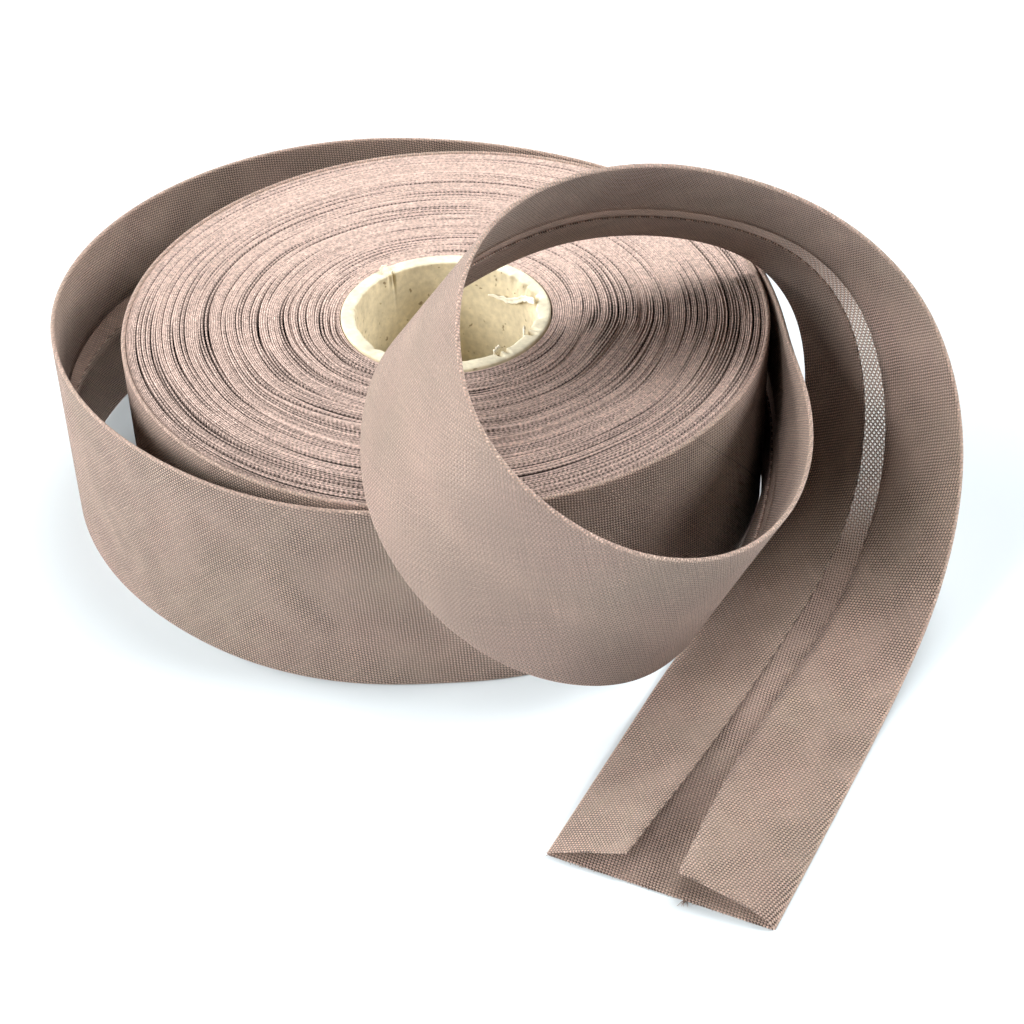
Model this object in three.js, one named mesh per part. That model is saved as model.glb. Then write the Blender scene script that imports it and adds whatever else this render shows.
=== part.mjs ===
// A part-used roll of bias binding: folded cotton tape wound on a cardboard core,
// with its outermost turn lifted off and looped over to lie flat in front.
// Millimetres, +Z up. The shape is worked out from the roll's own axis, and the
// finished group is then centred over the middle of the floor area it covers.

import * as THREE from 'three';
import { mergeVertices } from 'three/addons/utils/BufferGeometryUtils.js';

// Clearance kept between pieces that touch
const CLEARANCE = 0.3;

// The folded tape
const TAPE_WIDTH = 40;
const CLOTH_LAYER = 1.0;
const FOLD_SLIT = 0.3;
const TAPE_THICKNESS = 2 * CLOTH_LAYER + FOLD_SLIT;
const TAPE_STEP = 7.5;
const FOLD_ARC_STEPS = 4;
// Distance along the tape to either side over which its direction is measured
const DIRECTION_REACH = 1;

// The wound roll
const ROLL_RADIUS = 61.2;
const ROLL_HEIGHT = 40;
const ROLL_BORE_RADIUS = 20.5;
const ROLL_SEGMENTS = 72;
const ROLL_EDGE_ROUND = 0.8;
const DEPARTURE_BEARING = -88.4;
const DEPARTURE_GATHER = 10;
const LOOSENED_DEPTH = 22;
// How far the outermost and the innermost turns lie below the top of the roll
const OUTER_TURNS_DROP = 0.1;
const INNER_TURNS_DROP = 0.4;
const MEAN_SAG = 0.125;

// The cardboard core
const CORE_OUTER_RADIUS = ROLL_BORE_RADIUS - CLEARANCE;
const CORE_INNER_RADIUS = 17.4;
const CORE_HEIGHT = 40;
const CORE_SEGMENTS = 72;
const CORE_EDGE_ROUND = 0.4;
// The soft edge that tears: its width on the rim, its depth down the bore, and how
// near to the corner the torn points lie
const TEAR_WIDTH = 1.6;
const TEAR_DEPTH = 2.0;
const TEAR_CORNER = 0.6;

// Colours seen on the object
const CLOTH_COLOUR = '#a08c85';
const WINDING_COLOUR = '#c0a89f';
const CARDBOARD_COLOUR = '#e0d3b4';

// The lifted turn, standing on its edge round the roll. The bearing is in degrees
// from +X, and the rows run clockwise, seen from above, from where the tape leaves the
// roll. The radius is to the middle of the tape's thickness.
const STANDING_TURN = [
  { bearing: -89, radius: 60.8 },
  { bearing: -98, radius: 61.8 },
  { bearing: -108, radius: 63.6 },
  { bearing: -124, radius: 65.8 },
  { bearing: -141, radius: 68.0 },
  { bearing: -157, radius: 71.0 },
  { bearing: -172, radius: 74.0 },
  { bearing: -187, radius: 76.5 },
  { bearing: -203, radius: 77.5 },
  { bearing: -220, radius: 76.9 },
  { bearing: -238, radius: 74.7 },
  { bearing: -255, radius: 71.3 },
  { bearing: -271, radius: 67.1 },
  { bearing: -287, radius: 64.2 },
  { bearing: -304, radius: 62.95 },
  { bearing: -322, radius: 62.9 },
  { bearing: -338, radius: 62.9 },
];
const STANDING_HEIGHT = TAPE_WIDTH / 2 + CLEARANCE;

// The twisted loop and the end that lies on the floor. x, y and z are the middle of
// the tape. Its width leans from upright by the lean, in degrees, and the upper edge
// leans towards the bearing in the last column.
const LOOP = [
  { x: 62, y: 10.5, z: 20.5, lean: 0, towards: -17 },
  { x: 63, y: -5, z: 21, lean: 1, towards: -17 },
  { x: 61.5, y: -20.5, z: 22, lean: 5.5, towards: -18.5 },
  { x: 59, y: -35, z: 22.5, lean: 15.5, towards: -14.5 },
  { x: 55, y: -49, z: 22, lean: 23, towards: -15 },
  { x: 49, y: -62, z: 22, lean: 26.5, towards: -15.5 },
  { x: 40.5, y: -73, z: 24, lean: 29, towards: -17.5 },
  { x: 30.5, y: -80.5, z: 28.5, lean: 32.5, towards: -21.5 },
  { x: 19, y: -84, z: 34.5, lean: 35.5, towards: -27 },
  { x: 8.5, y: -83.5, z: 42, lean: 37.5, towards: -33 },
  { x: -0.5, y: -78.5, z: 50, lean: 38.5, towards: -39.5 },
  { x: -6, y: -70.5, z: 57.5, lean: 38.5, towards: -43.5 },
  { x: -7, y: -60, z: 64.5, lean: 38, towards: -46 },
  { x: -5, y: -49, z: 69.5, lean: 37.5, towards: -47.5 },
  { x: 1, y: -38.5, z: 72.5, lean: 36.5, towards: -48.5 },
  { x: 10, y: -29, z: 73, lean: 37.5, towards: -48.5 },
  { x: 31, y: -15, z: 70.5, lean: 45.5, towards: -51.5 },
  { x: 42.5, y: -10.5, z: 67, lean: 50, towards: -54.5 },
  { x: 53.5, y: -7.5, z: 63, lean: 53.5, towards: -57.5 },
  { x: 64.5, y: -6, z: 57.5, lean: 56.5, towards: -60.5 },
  { x: 73, y: -6, z: 50.5, lean: 58, towards: -62.5 },
  { x: 78.5, y: -8.5, z: 42, lean: 58, towards: -59.5 },
  { x: 81, y: -14, z: 32.5, lean: 58.5, towards: -53 },
  { x: 81, y: -22.5, z: 22.5, lean: 61, towards: -45 },
  { x: 77.5, y: -33.5, z: 13.5, lean: 66, towards: -38.5 },
  { x: 71, y: -45.5, z: 7, lean: 74, towards: -34 },
  { x: 62, y: -58.5, z: 3.5, lean: 83.5, towards: -31.5 },
  { x: 54, y: -72, z: 2, lean: 89, towards: -30 },
  { x: 45.5, y: -86.5, z: 1.4, lean: 90, towards: -29 },
  { x: 30, y: -115, z: 1.3, lean: 90, towards: -28 },
];

// The two folded-in flaps. fromEnd is the distance back from the cut end, upper and
// lower are where the raw edges lie across the tape, measured from its middle, and
// rise is how far the raw edges stand up off the back.
const FLAPS = [
  { fromEnd: 0, upper: 1.2, lower: -7.4, rise: 6.0 },
  { fromEnd: 12, upper: 0.9, lower: -7.2, rise: 4.0 },
  { fromEnd: 26, upper: 0.6, lower: -6.4, rise: 1.6 },
  { fromEnd: 45, upper: 0.9, lower: -5.0, rise: 0.3 },
  { fromEnd: 60, upper: 1.5, lower: -4.2, rise: 0 },
  { fromEnd: 130, upper: 1.7, lower: -3.6, rise: 0 },
  { fromEnd: 150, upper: 0.8, lower: -4.4, rise: 0 },
  { fromEnd: 168, upper: -0.8, lower: -6.0, rise: 0 },
  { fromEnd: 210, upper: -0.8, lower: -6.0, rise: 0 },
  { fromEnd: 250, upper: 1.6, lower: -3.6, rise: 0 },
  { fromEnd: 520, upper: 1.6, lower: -3.6, rise: 0 },
  { fromEnd: 760, upper: 2.4, lower: -2.8, rise: 0 },
];

// The outside of the roll. turn is in degrees, clockwise from where the tape leaves,
// and offset is how far the wall stands out from its usual radius there. The wall is
// low under the leaving tape, so that the tape's back runs on level from the turn
// before it.
const WALL = [
  { turn: 0, offset: -1.9 },
  { turn: 20, offset: -1.6 },
  { turn: 55, offset: -0.7 },
  { turn: 110, offset: 0 },
  { turn: 300, offset: 0 },
  { turn: 335, offset: 0.3 },
  { turn: 360, offset: 0.7 },
];

// The widest grooves between groups of turns on the upper face of the roll, from the
// core outwards. level is how far the turns outside the groove sit below the top.
const UPPER_GROOVES = [
  { radius: 23.3, width: 1.3, depth: 1.8, level: 0.1 },
  { radius: 27.8, width: 0.9, depth: 1.0, level: 0.3 },
  { radius: 32.2, width: 0.9, depth: 0.8, level: 0.0 },
  { radius: 36.6, width: 0.7, depth: 0.6, level: 0.3 },
  { radius: 39.4, width: 0.7, depth: 0.6, level: 0.1 },
  { radius: 42.4, width: 1.0, depth: 1.0, level: 0.4 },
  { radius: 46.0, width: 0.7, depth: 0.6, level: 0.2 },
  { radius: 50.3, width: 1.0, depth: 1.0, level: 0.0 },
  { radius: 54.0, width: 0.7, depth: 0.6, level: 0.3 },
  { radius: 57.6, width: 1.0, depth: 1.1, level: 0.1 },
];

// The same on the lower face, where the turns stand level on the floor
const LOWER_GROOVES = [
  { radius: 24.0, width: 1.0, depth: 0.9 },
  { radius: 33.0, width: 0.9, depth: 0.7 },
  { radius: 57.0, width: 0.9, depth: 0.7 },
];

// Slow waves in the windings, outwards and downwards. waves is how many there are
// round the roll, swirl is how many degrees they turn with each millimetre outwards,
// start is where they begin, in degrees, and size is in millimetres.
const OUTWARD_WAVES = [
  { waves: 2, swirl: 3, start: 0, size: 0.5 },
  { waves: 3, swirl: 0, start: -40, size: 0.25 },
];
const DOWNWARD_WAVES = [
  { waves: 1, swirl: 9, start: 0, size: 0.075 },
  { waves: 3, swirl: -5, start: 0, size: 0.05 },
];

// Torn places on the upper inner rim of the core
const TEARS = [
  { bearing: -55, spread: 9, bite: 0.9, drop: 0.9 },
  { bearing: -31, spread: 6, bite: 1.2, drop: 1.1 },
  { bearing: -8, spread: 14, bite: 1.0, drop: 1.4 },
  { bearing: 34, spread: 7, bite: 0.7, drop: 0.6 },
  { bearing: 120, spread: 8, bite: 1.1, drop: 1.2 },
  { bearing: 171, spread: 10, bite: 0.6, drop: 0.5 },
];

const radians = THREE.MathUtils.degToRad;

// Shortest turn between two bearings, in degrees, without its sign
function bearingGap(a, b) {
  const turn = THREE.MathUtils.euclideanModulo(a - b, 360);
  return Math.min(turn, 360 - turn);
}

// A rounded hump that is 1 at its middle and 0 from its spread outwards
function hump(distance, spread) {
  const reach = Math.min(distance / spread, 1);
  return 0.5 + 0.5 * Math.cos(Math.PI * reach);
}

// A named column of a table read between its rows, on a smooth curve through them.
// keys holds each row's place along the table, in rising order.
function readColumn(rows, keys, name, place) {
  const last = keys.length - 1;
  let i = 0;
  while (i < last - 1 && place > keys[i + 1]) i += 1;
  const span = keys[i + 1] - keys[i];
  const slopeAt = (k) => {
    const before = Math.max(k - 1, 0);
    const after = Math.min(k + 1, last);
    return (rows[after][name] - rows[before][name]) / (keys[after] - keys[before]);
  };
  const t = THREE.MathUtils.clamp((place - keys[i]) / span, 0, 1);
  const from = rows[i][name];
  const to = rows[i + 1][name];
  const rise = t * t * (3 - 2 * t);
  const leave = t * (1 - t) * (1 - t) * span * slopeAt(i);
  const arrive = t * t * (t - 1) * span * slopeAt(i + 1);
  return from + (to - from) * rise + leave + arrive;
}

// Places of a table's rows along the path through their x, y and z
function pathPlaces(rows) {
  const places = [0];
  for (let i = 1; i < rows.length; i += 1) {
    const before = rows[i - 1];
    const row = rows[i];
    const step = Math.hypot(row.x - before.x, row.y - before.y, row.z - before.z);
    places.push(places[i - 1] + step);
  }
  return places;
}

// The whole course of the loose tape as one table of positions and leans
function tapeCourse() {
  const standing = STANDING_TURN.map(({ bearing, radius }) => ({
    x: radius * Math.cos(radians(bearing)),
    y: radius * Math.sin(radians(bearing)),
    z: STANDING_HEIGHT,
    lean: 0,
    towards: LOOP[0].towards,
  }));
  return [...standing, ...LOOP];
}

// Outline across the folded tape: its back, then the upper flap turned in over the
// back, the inside of the back, and the lower flap. Returned as [across, inward]
// pairs, in order round the section.
function tapeSection({ upper, lower, rise }) {
  const half = TAPE_THICKNESS / 2;
  const slit = FOLD_SLIT / 2;
  const hinge = TAPE_WIDTH / 2 - half;
  const upperFlap = foldedFlap(hinge - upper, rise, hinge, half, slit);
  const lowerFlap = foldedFlap(hinge + lower, rise, hinge, half, slit);
  const mirrored = lowerFlap.map(([across, inward]) => [-across, inward]).reverse();
  return [[hinge, -half], ...upperFlap, ...mirrored, [-hinge, -half]];
}

// One flap with its fold, from the back's outer face round to the back's inner face
function foldedFlap(length, rise, hinge, half, slit) {
  const lift = Math.asin(THREE.MathUtils.clamp(rise / length, 0, 1));
  const turned = (along, inward) => [
    hinge - along * Math.cos(lift) + inward * Math.sin(lift),
    along * Math.sin(lift) + inward * Math.cos(lift),
  ];
  const outline = [];
  for (let i = 1; i < FOLD_ARC_STEPS; i += 1) {
    const angle = -Math.PI / 2 + ((Math.PI - lift) * i) / FOLD_ARC_STEPS;
    outline.push([hinge + half * Math.cos(angle), half * Math.sin(angle)]);
  }
  outline.push(turned(0, half), turned(length, half));
  outline.push(turned(length, slit), turned(0, slit));
  outline.push([hinge + slit, 0], [hinge, -slit]);
  return outline;
}

// The loose tape: the folded section carried along its course
function looseTapeGeometry() {
  const course = tapeCourse();
  const places = pathPlaces(course);
  const length = places[places.length - 1];
  const flapKeys = FLAPS.map((row) => row.fromEnd);
  const steps = Math.round(length / TAPE_STEP);
  const pointAt = (place) => new THREE.Vector3(
    readColumn(course, places, 'x', place),
    readColumn(course, places, 'y', place),
    readColumn(course, places, 'z', place),
  );
  const vertices = [];
  let ring = 0;
  for (let i = 0; i <= steps; i += 1) {
    const place = (length * i) / steps;
    const middle = pointAt(place);
    const ahead = pointAt(Math.min(place + DIRECTION_REACH, length));
    const behind = pointAt(Math.max(place - DIRECTION_REACH, 0));
    const along = ahead.sub(behind).normalize();
    const lean = radians(readColumn(course, places, 'lean', place));
    const towards = radians(readColumn(course, places, 'towards', place));
    const across = new THREE.Vector3(
      Math.sin(lean) * Math.cos(towards),
      Math.sin(lean) * Math.sin(towards),
      Math.cos(lean),
    );
    const inward = new THREE.Vector3().crossVectors(along, across).normalize();
    const fromEnd = length - place;
    const section = tapeSection({
      upper: readColumn(FLAPS, flapKeys, 'upper', fromEnd),
      lower: readColumn(FLAPS, flapKeys, 'lower', fromEnd),
      rise: Math.max(readColumn(FLAPS, flapKeys, 'rise', fromEnd), 0),
    });
    ring = section.length;
    for (const [a, n] of section) {
      const corner = middle.clone().addScaledVector(across, a).addScaledVector(inward, n);
      vertices.push(corner.x, corner.y, corner.z);
    }
  }
  const faces = sideFaces(steps, ring);
  const firstFlaps = FLAPS[FLAPS.length - 1];
  const startCap = capFaces(tapeSection(firstFlaps), 0);
  const endCap = capFaces(tapeSection(FLAPS[0]), steps * ring);
  for (const [a, b, c] of startCap) faces.push(a, c, b);
  for (const [a, b, c] of endCap) faces.push(a, b, c);
  return meshGeometry(vertices, faces);
}

// Faces between neighbouring sections of a swept shape
function sideFaces(steps, ring) {
  const faces = [];
  for (let i = 0; i < steps; i += 1) {
    for (let k = 0; k < ring; k += 1) {
      const next = (k + 1) % ring;
      const a = i * ring + k;
      const b = i * ring + next;
      const c = a + ring;
      const d = b + ring;
      faces.push(a, b, c, b, d, c);
    }
  }
  return faces;
}

// Faces that close a section, numbered from its first vertex
function capFaces(section, first) {
  const outline = section.map(([across, inward]) => new THREE.Vector2(across, inward));
  const faces = THREE.ShapeUtils.triangulateShape(outline, []);
  return faces.map((face) => face.map((index) => index + first));
}

function meshGeometry(vertices, faces) {
  const geometry = new THREE.BufferGeometry();
  geometry.setAttribute('position', new THREE.Float32BufferAttribute(vertices, 3));
  geometry.setIndex(faces);
  geometry.computeVertexNormals();
  return geometry;
}

// Points of a grooved face of the roll, from the bore outwards, as radius and depth
// below the face
function groovedFace(grooves, firstLevel) {
  const points = [];
  let level = firstLevel;
  for (const groove of grooves) {
    const after = groove.level ?? 0;
    points.push([groove.radius - groove.width / 2, level]);
    points.push([groove.radius, Math.max(level, after) + groove.depth]);
    points.push([groove.radius + groove.width / 2, after]);
    level = after;
  }
  return points;
}

// The roll: one turned solid, then pushed out of true as wound cloth is
function woundRollGeometry() {
  const round = ROLL_EDGE_ROUND;
  const top = ROLL_HEIGHT;
  const upper = groovedFace(UPPER_GROOVES, INNER_TURNS_DROP).reverse();
  const lower = groovedFace(LOWER_GROOVES, 0);
  const profile = [
    new THREE.Vector2(ROLL_BORE_RADIUS, round),
    new THREE.Vector2(ROLL_BORE_RADIUS + round, 0),
    ...lower.map(([radius, depth]) => new THREE.Vector2(radius, depth)),
    new THREE.Vector2(ROLL_RADIUS - round, 0),
    new THREE.Vector2(ROLL_RADIUS, round),
    new THREE.Vector2(ROLL_RADIUS, top / 2),
    new THREE.Vector2(ROLL_RADIUS, top - round),
    new THREE.Vector2(ROLL_RADIUS - round, top - OUTER_TURNS_DROP),
    ...upper.map(([radius, depth]) => new THREE.Vector2(radius, top - depth)),
    new THREE.Vector2(ROLL_BORE_RADIUS + round, top - INNER_TURNS_DROP),
    new THREE.Vector2(ROLL_BORE_RADIUS, top - INNER_TURNS_DROP - round),
    new THREE.Vector2(ROLL_BORE_RADIUS, round),
  ];
  const geometry = turnedGeometry(profile, ROLL_SEGMENTS);
  const position = geometry.attributes.position;
  for (let i = 0; i < position.count; i += 1) {
    const x = position.getX(i);
    const y = position.getY(i);
    const z = position.getZ(i);
    const radius = Math.hypot(x, y);
    const trueBearing = THREE.MathUtils.radToDeg(Math.atan2(y, x));
    const bearing = THREE.MathUtils.lerp(trueBearing, gathered(trueBearing), loosened(radius));
    const pushed = radius + rollPush(radius, bearing);
    const sag = z > top / 2 ? MEAN_SAG + wavesAt(DOWNWARD_WAVES, radius, bearing) : 0;
    const angle = radians(bearing);
    position.setXYZ(i, pushed * Math.cos(angle), pushed * Math.sin(angle), z - sag);
  }
  return geometry;
}

// How far a turn takes part in what the outside of the roll does, from 0 well inside
// the roll to 1 at its wall
function loosened(radius) {
  return Math.max(1 - (ROLL_RADIUS - radius) / LOOSENED_DEPTH, 0) ** 2;
}

// The bearings near where the tape leaves, drawn together so that the wall steps
// there within half a degree
function gathered(bearing) {
  const away = bearing - DEPARTURE_BEARING;
  if (Math.abs(away) >= DEPARTURE_GATHER) return bearing;
  return DEPARTURE_BEARING + away ** 3 / DEPARTURE_GATHER ** 2;
}

// How far the turns are pushed outwards at a radius and bearing. The bore stays
// round, and the wall follows its own table.
function rollPush(radius, bearing) {
  const middle = (ROLL_RADIUS + ROLL_BORE_RADIUS) / 2;
  const reach = (ROLL_RADIUS - ROLL_BORE_RADIUS) / 2;
  const inside = Math.max(1 - ((radius - middle) / reach) ** 2, 0);
  const turn = THREE.MathUtils.euclideanModulo(DEPARTURE_BEARING - bearing, 360);
  const turns = WALL.map((row) => row.turn);
  const offset = readColumn(WALL, turns, 'offset', turn);
  return inside * wavesAt(OUTWARD_WAVES, radius, bearing) + offset * loosened(radius);
}

// The sum of a table's waves at a radius and bearing
function wavesAt(table, radius, bearing) {
  return table.reduce((sum, { waves, swirl, start, size }) => {
    const angle = radians(waves * bearing + swirl * radius + start);
    return sum + size * Math.sin(angle);
  }, 0);
}

// A closed profile turned about the Z axis
function turnedGeometry(profile, segments) {
  const lathe = new THREE.LatheGeometry(profile, segments);
  lathe.rotateX(Math.PI / 2);
  lathe.deleteAttribute('normal');
  lathe.deleteAttribute('uv');
  const geometry = mergeVertices(lathe, 1e-3);
  geometry.computeVertexNormals();
  return geometry;
}

// The core: a thick cardboard tube whose upper inner rim is torn in places
function coreGeometry() {
  const round = CORE_EDGE_ROUND;
  const profile = [
    new THREE.Vector2(CORE_INNER_RADIUS, round),
    new THREE.Vector2(CORE_INNER_RADIUS + round, 0),
    new THREE.Vector2(CORE_OUTER_RADIUS - round, 0),
    new THREE.Vector2(CORE_OUTER_RADIUS, round),
    new THREE.Vector2(CORE_OUTER_RADIUS, CORE_HEIGHT - round),
    new THREE.Vector2(CORE_OUTER_RADIUS - round, CORE_HEIGHT),
    new THREE.Vector2(CORE_INNER_RADIUS + TEAR_WIDTH, CORE_HEIGHT),
    new THREE.Vector2(CORE_INNER_RADIUS + round, CORE_HEIGHT),
    new THREE.Vector2(CORE_INNER_RADIUS, CORE_HEIGHT - round),
    new THREE.Vector2(CORE_INNER_RADIUS, CORE_HEIGHT - TEAR_DEPTH),
    new THREE.Vector2(CORE_INNER_RADIUS, round),
  ];
  const geometry = turnedGeometry(profile, CORE_SEGMENTS);
  const position = geometry.attributes.position;
  const tornRadius = CORE_INNER_RADIUS + TEAR_CORNER;
  const tornHeight = CORE_HEIGHT - TEAR_CORNER;
  for (let i = 0; i < position.count; i += 1) {
    const x = position.getX(i);
    const y = position.getY(i);
    const z = position.getZ(i);
    const radius = Math.hypot(x, y);
    if (z < tornHeight || radius > tornRadius) continue;
    const bearing = THREE.MathUtils.radToDeg(Math.atan2(y, x));
    let bite = 0;
    let drop = 0;
    for (const tear of TEARS) {
      const strength = hump(bearingGap(bearing, tear.bearing), tear.spread);
      bite += tear.bite * strength;
      drop += tear.drop * strength;
    }
    const pushed = radius + bite;
    position.setXYZ(i, (x * pushed) / radius, (y * pushed) / radius, z - drop);
  }
  return geometry;
}

function piece(name, geometry, color, roughness) {
  const material = new THREE.MeshStandardMaterial({ color, roughness, metalness: 0 });
  const mesh = new THREE.Mesh(geometry, material);
  mesh.name = name;
  return mesh;
}

const roll = new THREE.Group();
roll.add(piece('cardboard_core', coreGeometry(), CARDBOARD_COLOUR, 0.9));
roll.add(piece('wound_roll', woundRollGeometry(), WINDING_COLOUR, 0.95));
roll.add(piece('loose_end', looseTapeGeometry(), CLOTH_COLOUR, 0.95));

// Stand the object on the floor with the origin under the middle of its outline
const outline = new THREE.Box3().setFromObject(roll, true);
const middle = outline.getCenter(new THREE.Vector3());
roll.position.set(-middle.x, -middle.y, -outline.min.z);

const binding = new THREE.Group();
binding.add(roll);

export default binding;
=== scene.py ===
"""A part-used roll of bias binding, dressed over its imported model.

The roll stands on its flat end round a cardboard tube. Its outermost turn is lifted
off, twisted over in a loop and lies flat in front. Everything is worked out in
millimetres from the roll's own axis, and moved to the model's frame, in metres, when
it is put into a mesh.
"""

import logging
import math
from collections.abc import Callable
from dataclasses import dataclass, field
from enum import Enum
from functools import partial

import bpy
import numpy as np
from bpy.types import Material, Node, NodeSocket, NodeTree, Object
from mathutils import Matrix, Vector


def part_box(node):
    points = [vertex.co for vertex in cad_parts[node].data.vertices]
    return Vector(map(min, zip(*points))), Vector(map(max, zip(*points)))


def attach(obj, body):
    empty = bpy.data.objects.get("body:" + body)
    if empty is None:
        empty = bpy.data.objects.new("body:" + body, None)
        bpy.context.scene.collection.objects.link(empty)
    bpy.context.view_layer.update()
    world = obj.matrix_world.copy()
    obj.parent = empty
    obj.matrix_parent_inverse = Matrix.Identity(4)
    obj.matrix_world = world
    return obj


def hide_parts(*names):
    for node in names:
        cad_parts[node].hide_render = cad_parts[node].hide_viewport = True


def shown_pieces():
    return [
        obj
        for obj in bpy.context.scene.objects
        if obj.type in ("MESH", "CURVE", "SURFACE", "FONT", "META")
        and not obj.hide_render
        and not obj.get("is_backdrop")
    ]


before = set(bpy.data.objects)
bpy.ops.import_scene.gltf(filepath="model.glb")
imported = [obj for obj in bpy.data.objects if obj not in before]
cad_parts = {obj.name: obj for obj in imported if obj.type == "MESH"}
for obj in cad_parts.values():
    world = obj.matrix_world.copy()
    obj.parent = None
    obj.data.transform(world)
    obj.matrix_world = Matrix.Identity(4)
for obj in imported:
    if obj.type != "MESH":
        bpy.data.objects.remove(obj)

Array = np.ndarray
Generator = np.random.Generator
LOG = logging.getLogger("binding")
MM = 0.001


def linear(code: str) -> tuple[float, float, float, float]:
    """The linear RGBA colour of an sRGB hex code.

    Args:
        code: six hex digits after a hash sign.

    Returns:
        Red, green, blue and an alpha of 1.
    """
    values = [int(code[i : i + 2], 16) / 255 for i in (1, 3, 5)]
    return *(v / 12.92 if v <= 0.04045 else ((v + 0.055) / 1.055) ** 2.4 for v in values), 1.0


def add_node(tree: NodeTree, kind: str, inputs: dict | tuple = (), **settings) -> Node:
    """Adds a node with its settings and its inputs.

    Args:
        tree: the node tree that gets it.
        kind: the node's type name after ShaderNode, and its operation or kind of data.
        inputs: a value, a colour's hex code, a socket or a node (its first output in use),
            for each input's name or index, or for the first inputs in order.
        settings: the node's own properties.

    Returns:
        The new node.
    """
    kind, _, option = kind.partition(" ")
    node = tree.nodes.new(f"ShaderNode{kind}")
    if option:
        setattr(node, "data_type" if kind == "Mix" else "operation", option)
    for name, value in settings.items():
        setattr(node, name, value)
    for key, value in inputs.items() if isinstance(inputs, dict) else enumerate(inputs):
        socket = node.inputs[key]
        if isinstance(value, Node):
            value = next(output for output in value.outputs if output.enabled)
        if isinstance(value, NodeSocket):
            tree.links.new(value, socket)
        else:
            socket.default_value = linear(value) if isinstance(value, str) else value
    return node


def blank_material(name: str) -> tuple[Material, Callable[..., Node]]:
    """A new material with an empty tree.

    Args:
        name: the material's name.

    Returns:
        The material, and add_node for its tree.
    """
    material = bpy.data.materials.new(name)
    material.use_nodes = True
    material.node_tree.nodes.clear()
    return material, partial(add_node, material.node_tree)


def smooth_noise(rng: Generator, knots: int, count: int) -> Array:
    """A smooth random curve: random knots joined by half cosines.

    Args:
        rng: the seeded source of numbers.
        knots: how many random values the curve passes through.
        count: how many samples are wanted.

    Returns:
        The samples, from about -1 to 1.
    """
    values = rng.uniform(-1, 1, knots + 1)
    place = np.linspace(0, knots, count)
    low = np.minimum(place.astype(int), knots - 1)
    ease = 0.5 - 0.5 * np.cos(np.pi * (place - low))
    return values[low] + (values[low + 1] - values[low]) * ease


def read_column(rows: tuple, keys: Array, name: str, places: Array) -> Array:
    """Reads a table's column between its rows, on a smooth curve through them.

    A cubic joins neighbouring rows. Its slope at a row is that of the line between
    the rows on either side.

    Args:
        rows: the table's rows.
        keys: each row's place along the table, in rising order.
        name: the column.
        places: where the column is read.

    Returns:
        The column's value at each place.
    """
    values = np.array([getattr(row, name) for row in rows], float)
    slopes = np.gradient(values, keys) if len(rows) > 2 else np.zeros(len(rows))
    i = np.clip(np.searchsorted(keys, places, side="left") - 1, 0, len(rows) - 2)
    span = keys[i + 1] - keys[i]
    t = np.clip((places - keys[i]) / span, 0, 1)
    rise = t * t * (3 - 2 * t)
    leave = t * (1 - t) ** 2 * span * slopes[i]
    arrive = t * t * (t - 1) * span * slopes[i + 1]
    return values[i] + (values[i + 1] - values[i]) * rise + leave + arrive


def blur(samples: Array, width: float) -> Array:
    """Rounds off what is sharp in evenly spaced samples, with a bell curve.

    Args:
        samples: one row for each place.
        width: the bell's standard deviation, in samples.

    Returns:
        The blurred samples, with the ends held where they were.
    """
    reach = int(3 * width)
    bell = np.exp(-0.5 * (np.arange(-reach, reach + 1) / width) ** 2)
    bell /= bell.sum()
    before = 2 * samples[0] - samples[reach:0:-1]
    after = 2 * samples[-1] - samples[-2 : -reach - 2 : -1]
    padded = np.concatenate([before, samples, after])
    return np.stack([np.convolve(column, bell, "valid") for column in padded.T], -1)


def walked(path: Array) -> Array:
    """The distance walked along a path at each of its points, from 0."""
    return np.concatenate([[0], np.cumsum(np.linalg.norm(np.diff(path, axis=0), axis=1))])


def read_path(path: Array, keys: Array, places: Array) -> Array:
    """The path's points at the given places, on straight lines between its own."""
    return np.stack([np.interp(places, keys, column) for column in path.T], -1)


def unit(vectors: Array) -> Array:
    """The vectors, one to a row, made one long."""
    return vectors / np.linalg.norm(vectors, axis=1, keepdims=True)


def round_axis(radius: Array, bearing: Array, level: Array) -> Array:
    """Points at a radius and a bearing in radians round the axis, and at a level."""
    return np.stack(
        np.broadcast_arrays(radius * np.cos(bearing), radius * np.sin(bearing), level), -1
    )


def grid_faces(rows: int, columns: int, around: bool = False) -> Array:
    """The four-sided faces of a grid of vertices, numbered row by row.

    Args:
        rows: vertices along.
        columns: vertices across.
        around: True if the last row joins the first.

    Returns:
        One row of four vertex numbers for each face.
    """
    row = np.arange(rows if around else rows - 1)[:, None]
    column = np.arange(columns - 1)[None, :]
    here = row * columns + column
    there = ((row + 1) % rows) * columns + column
    return np.stack([here, there, there + 1, here + 1], -1).reshape(-1, 4)


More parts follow.
